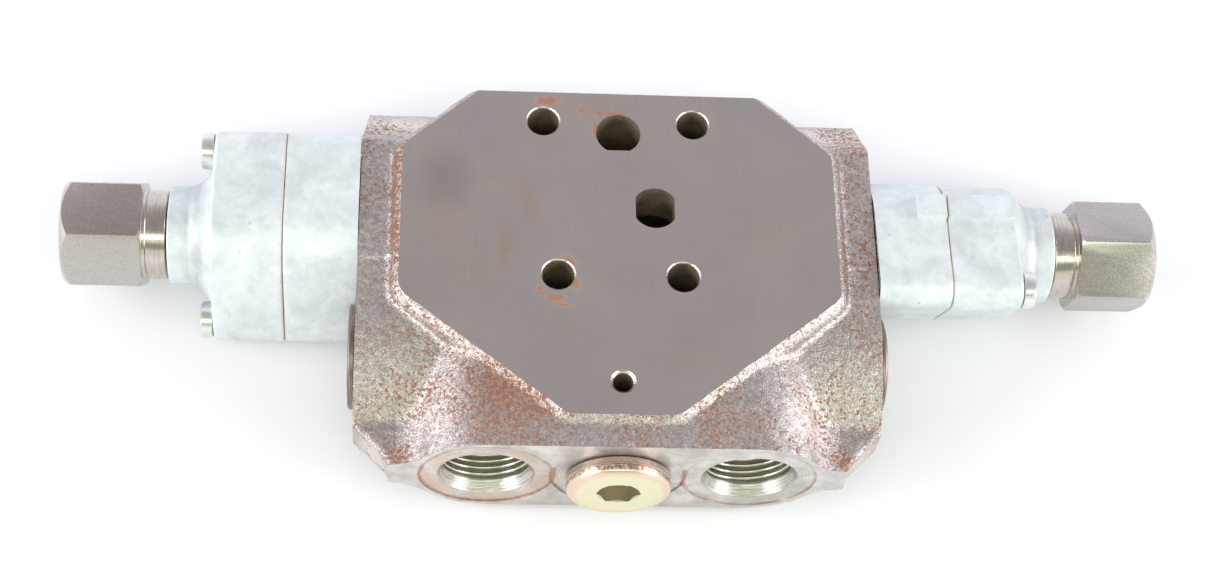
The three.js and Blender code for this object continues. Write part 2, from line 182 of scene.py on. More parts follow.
def castIronMaterial():
    # Grey iron as cast in sand and shot blasted: fine grained, it mirrors the lights in soft patches, and
    # painted highlights lighten its skin in places
    material, tree, shader = newMaterial("castIron")
    point = objectPoint(tree)
    grain = noiseOf(tree, point, castLook["grain"], 2, 0.6)
    coarse = noiseOf(tree, point, castLook["grain"] * 3.6, 2, 0.5)
    tone = ramp(tree, maths(tree, "MULTIPLY_ADD", grain, 0.5, maths(tree, "MULTIPLY", coarse, 0.5)),
                [(0.36, castLook["dark"]), (0.62, castLook["light"])])
    specks = noiseOf(tree, point, castLook["speck"], 4, 0.72, 0.3)
    gathered = maths(tree, "MULTIPLY_ADD", noiseOf(tree, point, castLook["patch"], 2, 0.6), 0.26, specks)
    for centre, radii, more in rustPatches:
        gathered = maths(tree, "MULTIPLY_ADD", spot(tree, centre, radii), more, gathered)
    rusty = ramp(tree, gathered, [(0.69, 0.0), (0.75, 1.0)])
    rust = mix(tree, coarse, castLook["rust"], castLook["paleRust"])
    paintedHighlight = 0.0
    # painted highlights: the skin is lightened towards the pale tint where the lamps glint on it
    for centre, radii, much in paintedHighlightPatches:
        paintedHighlight = maths(tree, "MULTIPLY_ADD", spot(tree, centre, radii), much, paintedHighlight)
    paintedHighlight = maths(tree, "MULTIPLY", paintedHighlight, 1.0, clamp=True)
    tone = mix(tree, maths(tree, "MULTIPLY", paintedHighlight, 0.85), tone, castLook["paintedHighlightTint"])
    leftSlope = spot(tree, (-34, -60, 46), (28, 24, 18))
    tinted = mix(tree, maths(tree, "MULTIPLY", leftSlope, 0.35), tone, castLook["paleRust"])
    tree.links.new(mix(tree, maths(tree, "MULTIPLY", rusty, 0.9), tinted, rust), shader.inputs["Base Color"])
    tree.links.new(maths(tree, "MULTIPLY_ADD", rusty, 0.3, 0.27), shader.inputs["Roughness"])
    tree.links.new(maths(tree, "MULTIPLY_ADD", rusty, -0.7, 0.92), shader.inputs["Metallic"])
    bump(tree, shader, maths(tree, "ADD", grain, coarse), 0.30, 0.9)
    return material


groundLook = {"warm": "#b4aba7", "cool": "#afa8a6", "stain": "#b5946c", "rust": "#9a5a30", "cloud": "#97928f",
              "streak": 0.45, "blotch": 26}
# rust smears, stains and the dull cloud on the ground face: x, y, half length, half width, turn, strength
smears = [(-22.3, 38.6, 6.5, 3.0, 0, 1.0), (-11.7, 35.6, 2.6, 4.0, 15, 0.7), (-6.3, 35.0, 2.2, 2.2, 0, 0.6),
          (-2.0, 37.2, 2.4, 1.8, 0, 0.45), (-16.6, -20.0, 5.0, 4.4, 30, 1.0),
          (-13.8, -26.8, 2.0, 4.4, 0, 0.95),
          (-20.4, -32.0, 4.6, 2.0, -16, 1.15), (-17.4, -34.4, 2.8, 1.4, 0, 0.8),
          (-24.6, -28.8, 2.6, 2.2, 0, 0.8),
          (-11.0, -13.2, 0.9, 3.0, -12, 0.75), (-7.2, 28.5, 1.3, 6.0, 0, 1.1), (-1.0, 34.3, 7.0, 1.3, 0, 1.0)]
stains = [(-39.4, 9.7, 9, 4, 0, 0.6), (-29.8, 5.0, 6, 9, 12, 0.7), (-27, -2.5, 4, 8, 20, 0.7),
          (-35.5, -14.5, 4, 11, 28, 1.0), (-55, -6, 14, 14, 0, 0.55), (-45, -22, 16, 10, 0, 0.4),
          (47, -6, 16, 12, 0, 0.3), (20, -50, 18, 10, 0, 0.3), (-8, 36, 16, 6, 0, 0.5)]


def groundIronMaterial():
    # Iron milled and ground flat to seal: satin, with faint tool lines, stains and rust smears
    material, tree, shader = newMaterial("groundIron", Metallic=0.85, Roughness=0.36)
    point = objectPoint(tree)
    blotch = noiseOf(tree, point, groundLook["blotch"], 3, 0.6)
    colour = mix(tree, ramp(tree, blotch, [(0.35, 0.0), (0.65, 1.0)]), groundLook["cool"], groundLook["warm"])
    long = noiseOf(tree, objectPoint(tree, scale=(1, 0.03, 1)), groundLook["streak"], 2, 0.6)
    slant = noiseOf(tree, objectPoint(tree, turn=(0, 0, math.radians(52)), scale=(0.035, 1, 1)),
                    groundLook["streak"], 2, 0.6)
    low = spot(tree, (0, -70, deep), (72, 44, 44))
    lines = mix(tree, maths(tree, "MULTIPLY", low, 1.6, clamp=True), long, slant)
    fine = noiseOf(tree, point, 0.5, 2, 0.6)
    tone = maths(tree, "ADD", maths(tree, "MULTIPLY_ADD", lines, 0.13, 0.935),
                 maths(tree, "MULTIPLY_ADD", fine, 0.12, -0.06))
    colour = mix(tree, 1.0, colour, tone, "MULTIPLY")
    cloudy = maths(tree, "MULTIPLY", spot(tree, (-54.3, 10, deep), (11, 15, 10), -12), 0.75)
    colour = mix(tree, cloudy, colour, groundLook["cloud"])
    ragged = noiseOf(tree, point, 2.4, 5, 0.75, 0.8)
    stained = 0.0
    for x, y, length, width, turn, strength in stains:
        here = spot(tree, (x, y, deep), (length, width, 20), turn)
        stained = maths(tree, "MULTIPLY_ADD", here, strength, stained)
    stained = maths(tree, "MULTIPLY", stained, maths(tree, "MULTIPLY_ADD", ragged, 1.2, -0.2), clamp=True)
    colour = mix(tree, maths(tree, "MULTIPLY", stained, 0.95), colour, groundLook["stain"])
    rusted = 0.0
    for x, y, length, width, turn, strength in smears:
        here = spot(tree, (x, y, deep), (length, width, 20), turn)
        rusted = maths(tree, "MULTIPLY_ADD", here, strength, rusted)
    rusted = ramp(tree, maths(tree, "MULTIPLY", rusted, ragged), [(0.10, 0.0), (0.32, 1.0)])
    colour = mix(tree, maths(tree, "MULTIPLY", rusted, 0.75), colour, groundLook["rust"])
    tree.links.new(colour, shader.inputs["Base Color"])
    tree.links.new(maths(tree, "MULTIPLY_ADD", rusted, 0.3, maths(tree, "MULTIPLY_ADD", blotch, 0.1, 0.32)),
                   shader.inputs["Roughness"])
    tree.links.new(maths(tree, "MULTIPLY_ADD", rusted, -0.6, 0.85), shader.inputs["Metallic"])
    bump(tree, shader, lines, 0.02, 0.5)
    return material


milledLook = {"light": "#d8d5d1", "dark": "#b8b3ae", "tan": "#cbb09c", "rust": "#9a5a3c", "toolMark": 1.1}


def milledIronMaterial():
    # Iron faced with a turning cutter round each port: light grey, ring marks, rust at the step
    material, tree, shader = newMaterial("milledIron", Metallic=0.8, Roughness=0.4)
    point = objectPoint(tree)
    ringRust, ringTone = 0.0, 1.0
    ragged = noiseOf(tree, point, 3, 4, 0.7, 0.5)
    y = addNode(tree, "ShaderNodeSeparateXYZ", links={0: point}).outputs[1]
    atFront = maths(tree, "LESS_THAN", y, -70 * mm)
    for x, much in ((-40, 1.25), (0, 0.8), (40, 0.9)):
        radius = radiusFrom(tree, (x, 0, mid), "y")
        near = maths(tree, "LESS_THAN", radius, 20.6 * mm)
        wave = maths(tree, "SINE", maths(tree, "MULTIPLY", radius,
                                         2 * math.pi / (milledLook["toolMark"] * mm)))
        ringTone = maths(tree, "MULTIPLY_ADD", maths(tree, "MULTIPLY", wave, near), 0.05, ringTone)
        for ring, width, strength in ((20.2, 1.5, 1.0), (14.9, 0.9, 0.5), (17.6, 2.6, 0.55)):
            away = maths(tree, "ABSOLUTE", maths(tree, "SUBTRACT", radius, ring * mm))
            here = maths(tree, "SUBTRACT", 1.0, maths(tree, "DIVIDE", away, width * mm), clamp=True)
            ringRust = maths(tree, "MULTIPLY_ADD", here, strength * much, ringRust)
    ringRust = maths(tree, "MULTIPLY", ringRust, atFront)
    rusted = ramp(tree, maths(tree, "MULTIPLY", ringRust, ragged), [(0.30, 0.0), (0.60, 1.0)])
    blotch = noiseOf(tree, point, 7, 3, 0.6)
    colour = mix(tree, ramp(tree, blotch, [(0.35, 0.0), (0.65, 1.0)]), milledLook["dark"],
                 milledLook["light"])
    colour = mix(tree, 1.0, colour, ringTone, "MULTIPLY")
    nearLeft = maths(tree, "LESS_THAN", radiusFrom(tree, (-40, 0, mid), "y"), 20.4 * mm)
    tanned = maths(tree, "MULTIPLY", nearLeft,
                   ramp(tree, noiseOf(tree, point, 9, 3, 0.6), [(0.35, 0.1), (0.6, 0.75)]))
    colour = mix(tree, maths(tree, "MULTIPLY", tanned, atFront), colour, milledLook["tan"])
    colour = mix(tree, maths(tree, "MULTIPLY", rusted, 0.7), colour, milledLook["rust"])
    tree.links.new(colour, shader.inputs["Base Color"])
    tree.links.new(maths(tree, "MULTIPLY_ADD", rusted, -0.5, 0.8), shader.inputs["Metallic"])
    bump(tree, shader, maths(tree, "ADD", ringTone, noiseOf(tree, point, 0.6)), 0.05, 0.5)
    return material


def boredIronMaterial():
    # Iron drilled or cored: darker than the cast skin, as painted shade for the deep bores and passages, with
    # brown where old oil has dried
    material, tree, shader = newMaterial("boredIron", Metallic=0.5, Roughness=0.34)
    point = objectPoint(tree)
    stain = noiseOf(tree, point, 5, 4, 0.65)
    colour = ramp(tree, stain, [(0.35, "#7d7369"), (0.55, "#a19480"), (0.72, "#b98a68")])
    tree.links.new(colour, shader.inputs["Base Color"])
    bump(tree, shader, noiseOf(tree, point, 0.7, 3), 0.15, 0.7)
    return material


def cutSteelMaterial(name, dark, light, roughness, axis, centre, pitch, depth):
    # Freshly turned metal: bright, with rings from the tool along the axis given
    material, tree, shader = newMaterial(name, Metallic=1.0, Roughness=roughness)
    point = objectPoint(tree, centre)
    along = addNode(tree, "ShaderNodeSeparateXYZ", links={0: point}).outputs["xyz".index(axis)]
    wave = maths(tree, "SINE", maths(tree, "MULTIPLY", along, 2 * math.pi / (pitch * mm)))
    squeezed = [1.0, 1.0, 1.0]
    squeezed["xyz".index(axis)] = 14.0
    rings = noiseOf(tree, objectPoint(tree, centre, scale=squeezed), 6, 4, 0.7)
    tree.links.new(ramp(tree, rings, [(0.3, dark), (0.7, light)]), shader.inputs["Base Color"])
    bump(tree, shader, maths(tree, "MULTIPLY_ADD", wave, 0.3, rings), depth, 0.8)
    return material


castAlloyLook = {"light": "#e4eaed", "grey": "#d0d7da", "mark": "#a9b1b4", "cloud": 15, "pit": 2.2,
                 # seam, cone: place, half width, tint and strength
                 "bands": [(103.6, 0.8, "#c4b6a3", 0.9), (130.5, 5.5, "#a9adae", 0.95)]}


def castAlloyMaterial():
    # Pressure die-cast aluminium, chromate passivated: pale, cloudy flow marks, a few small pits
    material, tree, shader = newMaterial("castAlloy", Metallic=0.35, Roughness=0.5)
    point = objectPoint(tree)
    cloud = noiseOf(tree, point, castAlloyLook["cloud"], 4, 0.6, 0.8)
    colour = mix(tree, ramp(tree, cloud, [(0.35, 0.0), (0.62, 1.0)]), castAlloyLook["grey"],
                 castAlloyLook["light"])
    scuff = noiseOf(tree, point, 5, 5, 0.75, 0.3)
    colour = mix(tree, maths(tree, "MULTIPLY", ramp(tree, scuff, [(0.45, 0.0), (0.75, 1.0)]), 0.35), colour,
                 castAlloyLook["mark"])
    cells = addNode(tree, "ShaderNodeTexVoronoi", {"Scale": 1 / (castAlloyLook["pit"] * 4 * mm),
                                                   "Randomness": 1.0},
                    {"Vector": point}).outputs["Distance"]
    pits = ramp(tree, cells, [(0.05, 1.0), (0.085, 0.0)])
    colour = mix(tree, maths(tree, "MULTIPLY", pits, 0.55), colour, castAlloyLook["mark"])
    along = maths(tree, "ABSOLUTE", addNode(tree, "ShaderNodeSeparateXYZ", links={0: point}).outputs[0])
    for place, reach, tint, much in castAlloyLook["bands"]:
        away = maths(tree, "DIVIDE", maths(tree, "ABSOLUTE", maths(tree, "SUBTRACT", along, place * mm)),
                     reach * mm)
        band = maths(tree, "MULTIPLY", maths(tree, "SUBTRACT", 1.0, away, clamp=True),
                     maths(tree, "MULTIPLY_ADD", scuff, 1.2, 0.2))
        colour = mix(tree, maths(tree, "MULTIPLY", band, much, clamp=True), colour, tint)
    tree.links.new(colour, shader.inputs["Base Color"])
    tree.links.new(maths(tree, "MULTIPLY_ADD", cloud, 0.25, 0.38), shader.inputs["Roughness"])
    height = maths(tree, "SUBTRACT", noiseOf(tree, point, 0.9, 3, 0.6), pits)
    bump(tree, shader, maths(tree, "MULTIPLY_ADD", cloud, 1.5, height), 0.10, 0.7)
    return material


def drawnSteelMaterial():
    # Cold drawn hexagon bar with a phosphate wash: grey brown, fine marks along the bar
    material, tree, shader = newMaterial("drawnSteel", Metallic=0.95, Roughness=0.3)
    point = objectPoint(tree)
    drawn = noiseOf(tree, objectPoint(tree, scale=(0.1, 1, 1)), 0.8, 2, 0.6)
    speck = noiseOf(tree, point, 0.6, 3, 0.7)
    both = maths(tree, "ADD", maths(tree, "MULTIPLY", drawn, 0.25), maths(tree, "MULTIPLY", speck, 0.75))
    tree.links.new(ramp(tree, both, [(0.3, "#a8a29e"), (0.7, "#c4beb9")]), shader.inputs["Base Color"])
    tree.links.new(maths(tree, "MULTIPLY_ADD", both, 0.2, 0.16), shader.inputs["Roughness"])
    bump(tree, shader, both, 0.05, 0.5)
    return material


def platedMaterial(name, base, tints, roughness, size):
    # Zinc plated steel, passivated: the film's thickness tints it in soft bands
    material, tree, shader = newMaterial(name, Metallic=0.9, Roughness=roughness)
    point = objectPoint(tree)
    film = noiseOf(tree, point, size, 3, 0.6, 0.6)
    step = 0.4 / max(1, len(tints) - 1)
    colour = ramp(tree, film, [(0.3 + i * step, tint) for i, tint in enumerate(tints)])
    colour = mix(tree, 0.55, base, colour)
    tree.links.new(colour, shader.inputs["Base Color"])
    bump(tree, shader, noiseOf(tree, point, 0.7, 3, 0.6), 0.03, 0.6)
    return material


zincLook = {"face": ["#dbdfbc", "#e5dfc0", "#ead8be"], "rim": "#e6c2b2", "side": "#a8876f",
            "paintedGlint": "#f6eddc", "socket": "#cbc4ae", "bevelEnd": -84.4, "mouth": -85.75}


def yellowZincMaterial():
    # Yellow passivated zinc: straw and green on the face, pink towards its rim, copper on the side with
    # painted glints
    material, tree, shader = newMaterial("yellowZinc", Metallic=0.85, Roughness=0.24)
    point = objectPoint(tree)
    film = noiseOf(tree, point, 8, 3, 0.6, 0.8)
    colour = ramp(tree, film, [(0.3 + 0.2 * i, tint) for i, tint in enumerate(zincLook["face"])])
    radius = maths(tree, "DIVIDE", radiusFrom(tree, (0, 0, mid), "y"), 16 * mm)
    rim = ramp(tree, maths(tree, "MULTIPLY_ADD", film, 0.25, radius), [(0.93, 0.0), (1.08, 1.0)])
    colour = mix(tree, maths(tree, "MULTIPLY", rim, 0.7), colour, zincLook["rim"])
    y = addNode(tree, "ShaderNodeSeparateXYZ", links={0: point}).outputs[1]
    # painted glints: pale patches on the side stand in for highlights
    paintedHighlight = ramp(tree, noiseOf(tree, point, 0.9, 3, 0.7), [(0.46, 0.0), (0.56, 1.0)])
    side = mix(tree, paintedHighlight, zincLook["side"], zincLook["paintedGlint"])
    onSide = maths(tree, "GREATER_THAN", y, zincLook["bevelEnd"] * mm)
    inSocket = maths(tree, "LESS_THAN", radius, 0.46)
    colour = mix(tree, onSide, colour, side)
    # painted shade: the walls of the hex socket are a darker, greyer straw
    deeper = maths(tree, "GREATER_THAN", y, zincLook["mouth"] * mm)
    colour = mix(tree, maths(tree, "MULTIPLY", inSocket, deeper), colour, zincLook["socket"])
    tree.links.new(colour, shader.inputs["Base Color"])
    bump(tree, shader, noiseOf(tree, point, 0.7, 3, 0.6), 0.03, 0.6)
    return material


def plainMetal(name, dark, light, roughness, size):
    # Hardened and ground steel or oiled wire: even, with a faint mottle
    material, tree, shader = newMaterial(name, Metallic=1.0, Roughness=roughness)
    mottle = noiseOf(tree, objectPoint(tree), size, 3, 0.6)
    tree.links.new(ramp(tree, mottle, [(0.3, dark), (0.7, light)]), shader.inputs["Base Color"])
    bump(tree, shader, mottle, 0.03, 0.5)
    return material


def nitrileMaterial():
    # Moulded nitrile rubber: matt black with a slight bloom
    material, tree, shader = newMaterial("nitrile", Roughness=0.6)
    bloom = noiseOf(tree, objectPoint(tree), 2.5, 3, 0.6)
    tree.links.new(ramp(tree, bloom, [(0.3, "#141415"), (0.75, "#2b2b2d")]), shader.inputs["Base Color"])
    bump(tree, shader, bloom, 0.05, 0.4)
    return material


castIron = castIronMaterial()
groundIron = groundIronMaterial()
milledIron = milledIronMaterial()
boredIron = boredIronMaterial()
seatIron = cutSteelMaterial("seatIron", "#9a938c", "#dedad4", 0.3, "y", (0, 0, 0), 0.8, 0.10)
threadIron = cutSteelMaterial("threadIron", "#bcbbb0", "#efeee4", 0.2, "y", (0, 0, 0), 2.1, 0.05)
plugSteel = cutSteelMaterial("plugSteel", "#6e5f55", "#a39488", 0.35, "x", (0, 0, 0), 0.6, 0.04)
turnedSteel = cutSteelMaterial("turnedSteel", "#b3aba4", "#d6cfc8", 0.15, "x", (0, 0, 0), 0.6, 0.006)
castAlloy = castAlloyMaterial()
drawnSteel = drawnSteelMaterial()
yellowZinc = yellowZincMaterial()
whiteZinc = platedMaterial("whiteZinc", "#dfe3e2", ["#d3dcc8", "#e8ebe8", "#d8d4e0"], 0.22, 5)
washerZinc = platedMaterial("washerZinc", "#bfa99c", ["#a39c86", "#e0d2c4", "#c09a90", "#ece4dc"], 0.28, 1.6)
hardSteel = plainMetal("hardSteel", "#9a9896", "#c2c0bd", 0.2, 6)
springWire = plainMetal("springWire", "#4d4c4c", "#74716e", 0.35, 1.5)
nitrile = nitrileMaterial()
print("materials ready")


# Shapes

def linked(name, mesh):
    obj = bpy.data.objects.new(name, mesh)
    bpy.context.scene.collection.objects.link(obj)
    return obj


def spread(axis, along, a, b):
    # x: (along, y, z)   y: (x, along, z)   z: (x, y, along)
    place = {"x": (along, a, b), "y": (a, along, b), "z": (a, b, along)}[axis]
    return [c * mm for c in place]


def loft(name, axis, levels, materials=(), bands=None, ends=None):
    # levels are (position along the axis, outline), all outlines with the same number of points
    count = len(levels[0][1])
    points = [spread(axis, along, a, b) for along, outline in levels for a, b in outline]
    faces, slots = [tuple(range(count))], [(ends or (0, 0))[0]]
    for k in range(len(levels) - 1):
        for i in range(count):
            j = (i + 1) % count
            faces.append((k * count + i, k * count + j, (k + 1) * count + j, (k + 1) * count + i))
            slots.append(bands[k] if bands else 0)
    last = (len(levels) - 1) * count
    faces.append(tuple(range(last + count - 1, last - 1, -1)))
    slots.append((ends or (0, 0))[1])
    mesh = bpy.data.meshes.new(name)
    mesh.from_pydata(points, [], faces)
    for material in materials:
        mesh.materials.append(material)
    mesh.polygons.foreach_set("material_index", slots)
    work = bmesh.new()
    work.from_mesh(mesh)
    bmesh.ops.remove_doubles(work, verts=work.verts, dist=1e-6)
    bmesh.ops.recalc_face_normals(work, faces=work.faces)
    work.to_mesh(mesh)
    work.free()
    return linked(name, mesh)


def circle(radius, centre=(0, 0), sides=64):
    return [(centre[0] + radius * math.cos(2 * math.pi * i / sides),
             centre[1] + radius * math.sin(2 * math.pi * i / sides)) for i in range(sides)]


def turned(name, axis, profile, centre=(0, 0), materials=(), bands=None, ends=None, sides=64):
    # profile is (position along the axis, radius); centre is in the two other axes
    levels = [(along, circle(radius, centre, sides)) for along, radius in profile]
    return loft(name, axis, levels, materials, bands, ends)


def block(name, low, high, materials=()):
    (x0, y0, z0), (x1, y1, z1) = low, high
    return loft(name, "z", [(z, [(x0, y0), (x1, y0), (x1, y1), (x0, y1)]) for z in (z0, z1)], materials)


def arc(centre, radius, start, end, steps):
    angles = [math.radians(start + (end - start) * i / steps) for i in range(steps + 1)]
    return [(centre[0] + radius * math.cos(t), centre[1] + radius * math.sin(t)) for t in angles]


def hexagon(across, turn=0.0, centre=(0, 0), corner=0.0, steps=3):
    # corner is the radius on each corner
    reach = (across / 2 - corner) / math.cos(math.pi / 6)
    outline = []
    for i in range(6):
        angle = math.radians(turn) + i * math.pi / 3
        middle = (centre[0] + reach * math.cos(angle), centre[1] + reach * math.sin(angle))
        degrees = math.degrees(angle)
        outline += arc(middle, corner, degrees - 30, degrees + 30, steps) if corner else [middle]
    return outline


def shifted(corners, distances):
    # moves each edge of a polygon outwards; edge i runs from corner i to the next
    made = []
    for i, (x, y, radius) in enumerate(corners):
        lines = []
        for k in (i - 1, i):
            a, b = Vector(corners[k][:2]), Vector(corners[(k + 1) % len(corners)][:2])
            along = (b - a).normalized()
            outward = Vector((-along.y, along.x))
            lines.append((a + outward * distances[k], along))
        (p, d), (q, e) = lines
        cross = d.x * e.y - d.y * e.x
        t = ((q - p).x * e.y - (q - p).y * e.x) / cross
        corner = p + d * t
        made.append((corner.x, corner.y, radius + (distances[i] if radius else 0)))
    return made


def rounded(corners, steps=6):
    outline = []
    for i, (x, y, radius) in enumerate(corners):
        here = Vector((x, y))
        if radius <= 0.01:
            outline += [(x, y)] * (steps + 1)
            continue
        before = (Vector(corners[i - 1][:2]) - here).normalized()
        after = (Vector(corners[(i + 1) % len(corners)][:2]) - here).normalized()
        half = before.angle(after) / 2
        middle = here + (before + after).normalized() * (radius / math.sin(half))
        first = here + before * (radius / math.tan(half)) - middle
        last = here + after * (radius / math.tan(half)) - middle
        sweep = first.angle_signed(last)
        for k in range(steps + 1):
            p = first.copy()
            p.rotate(Matrix.Rotation(-sweep * k / steps, 2))
            outline.append(tuple(middle + p))
    return outline


def mirrored(half):
    return list(half) + [(-p[0], *p[1:]) for p in reversed(half)]


def doubled(upper, middle=mid):
    return list(upper) + [(a, 2 * middle - b) for a, b in reversed(upper)]


def settle(obj):
    # applies every modifier, and leaves a plain mesh
    graph = bpy.context.evaluated_depsgraph_get()
    mesh = bpy.data.meshes.new_from_object(obj.evaluated_get(graph))
    obj.modifiers.clear()
    old, obj.data = obj.data, mesh
    bpy.data.meshes.remove(old)
    return obj


def combine(target, tools, operation, solver="MANIFOLD"):
    for tool in tools:
        modifier = target.modifiers.new("shape", "BOOLEAN")
        modifier.object, modifier.operation, modifier.solver = tool, operation, solver
        modifier.material_mode = "TRANSFER"
    settle(target)
    for tool in tools:
        bpy.data.objects.remove(tool)
    return target


def joined(name, parts):
    work = bmesh.new()
    for part in parts:
        work.from_mesh(part.data)
        bpy.data.objects.remove(part)
    mesh = bpy.data.meshes.new(name)
    work.to_mesh(mesh)
    work.free()
    return linked(name, mesh)


def castSkin(obj, voxel, passes, lumps, lumpSize, material):
    # one even skin over overlapping blocks, its edges and inner corners rounded like a pattern's
    remesh = obj.modifiers.new("skin", "REMESH")
    remesh.mode, remesh.voxel_size, remesh.use_smooth_shade = "VOXEL", voxel * mm, True
    smooth = obj.modifiers.new("fillets", "SMOOTH")
    smooth.factor, smooth.iterations = 0.5, passes
    texture = bpy.data.textures.new("lumps", "CLOUDS")
    texture.noise_scale, texture.noise_depth = lumpSize * mm, 2
    uneven = obj.modifiers.new("lumps", "DISPLACE")
    uneven.texture, uneven.strength, uneven.mid_level = texture, lumps * mm, 0.5
    uneven.texture_coords = "LOCAL"
    settle(obj)
    obj.data.materials.clear()
    obj.data.materials.append(material)
    return obj


def shadeByAngle(obj, degrees=30):
    mesh = obj.data
    mesh.polygons.foreach_set("use_smooth", [True] * len(mesh.polygons))
    work = bmesh.new()
    work.from_mesh(mesh)
    for edge in work.edges:
        if len(edge.link_faces) == 2:
            edge.smooth = edge.calc_face_angle(0) < math.radians(degrees)
    work.to_mesh(mesh)
    work.free()
    return obj


def bevelled(obj, width, degrees=25, segments=2):
    modifier = obj.modifiers.new("edges", "BEVEL")
    modifier.width, modifier.segments = width * mm, segments
    modifier.limit_method, modifier.angle_limit = "ANGLE", math.radians(degrees)
    modifier.use_clamp_overlap = True
    return settle(obj)


def handOver(obj, body, replaced, moving=None):
    # moving is for a spring: the body it pushes, its fixed end and its moving end; only whether it is given
    # is read, and then the piece is baked in place instead of attached
    shadeByAngle(obj)
    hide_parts(*replaced)
    if moving:
        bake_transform(obj)
    else:
        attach(obj, body)
    return obj


# the left end is the right end turned over about Y
turnedOver = Matrix.Translation((0, 0, deep * mm)) @ Matrix.Rotation(math.pi, 4, "Y")


def turnedOverCopy(obj, name):
    mesh = obj.data.copy()
    mesh.transform(turnedOver)
    return linked(name, mesh)


# The cast and machined body

bodyPlan = {
    "half": 80.4, "portFace": -80.4, "back": 41.8,
    # the right half of the ground face: x, y and corner radius
    "plate": [(46.7, 41.8, 0), (67.6, 23.5, 5), (67.6, -30.3, 6), (16.5, -70.4, 3)],
    # the rounding under its edge: depth below the face, and step out
    "rim": [(-2, -2.4), (0, 0), (0.45, 0.8), (1.2, 1.65), (2.3, 2.4), (3.5, 2.85), (4.6, 3.0)],
    "backRim": -1.9,                   # the corner at the back is dressed further in
    "shoulder": 19.5, "flange": 6.8, "slope": 49, "slopeStart": -33, "chamferTop": 25.5, "chamferDrop": 7.5,
    "boss": 22.3, "sweep": 14, "bossEnd": -36, "spacing": 40, "corner": 12.4,
    "voxel": 0.8, "passes": 7}


def plateBlank():
    plan, levels = bodyPlan, []
    rim = plan["rim"] + [(deep - z, out) for z, out in reversed(plan["rim"])]
    for z, out in rim:
        side, backCorner = out, out + plan["backRim"]
        edges = [backCorner, side, side, side, side, side, backCorner, 2.0]
        levels.append((z, rounded(shifted(mirrored(plan["plate"]), edges))))
    return loft("plate", "z", levels)


def shoulderBlank():
    plan = bodyPlan
    fall = math.degrees(math.acos(1 - (plan["shoulder"] - plan["flange"]) / plan["slope"]))
    slope = arc((plan["slopeStart"], mid + plan["shoulder"] - plan["slope"]), plan["slope"], 90,
                90 + fall, 24)
    side = [(plan["back"] + 3, mid + plan["chamferDrop"] - 2.2),
            (plan["chamferTop"], mid + plan["shoulder"]), *slope,
            (plan["portFace"] - 3, mid + plan["flange"])]
    blank = loft("shoulders", "x", [(x, doubled(side)) for x in (-83.4, 83.4)])
    reach = plan["half"] + 3
    outline = mirrored([(reach, 50), (reach, plan["portFace"] + plan["corner"] + 3),
                        (plan["half"] - plan["corner"] - 3, plan["portFace"] - 3)])
    # a straight 45 degree line across each front corner
    return combine(blank, [loft("corners", "z", [(z, outline) for z in (-1, deep + 1)])], "INTERSECT")


def bossBlank():
    plan = bodyPlan
    boss, sweep, flange = plan["boss"], plan["sweep"], plan["flange"]
    reach = math.sqrt((boss + sweep) ** 2 - (flange + sweep) ** 2)
    touch = math.degrees(math.atan2(flange + sweep, reach))
    right = arc((plan["spacing"], mid), boss, 90, touch, 16)
    right += arc((plan["spacing"] + reach, mid + flange + sweep), sweep, 180 + touch, 270, 12)[1:]
    top = [(-x, z) for x, z in reversed(right)] + right
    return loft("bosses", "y", [(y, doubled(top)) for y in (plan["portFace"] - 3, plan["bossEnd"])])


ports = {"spot": 20.5, "spotDepth": 0.4, "lip": 14.75, "seat": 14.5, "seatEnd": 12.95, "seatDepth": 3.7,
         "bore": 13.45, "boreDepth": 19, "way": 7, "pitch": 2.1167}
holes = {"tieRods": [(-23.7, 31), (23.7, 31), (-19.2, -23.9), (19.2, -23.9)], "tieRadius": 5.0,
         "tieChamfer": 0.4,
         "supply": (11.1, 0.2, 7.1, 6.1), "tank": (0, 26.9, 7.05, 6.1), "sense": (0, -59.7, 3.1, 0.8),
         "seals": {"supply": 9, "tank": 9, "sense": 6.2}}


def clippedCircle(x, y, radius, flat, alongX):
    outline = []
    for a, b in circle(radius, sides=96):
        outline.append((x + max(-flat, min(flat, a)), y + b) if alongX else (x + a, y + max(-flat, b)))
    return outline


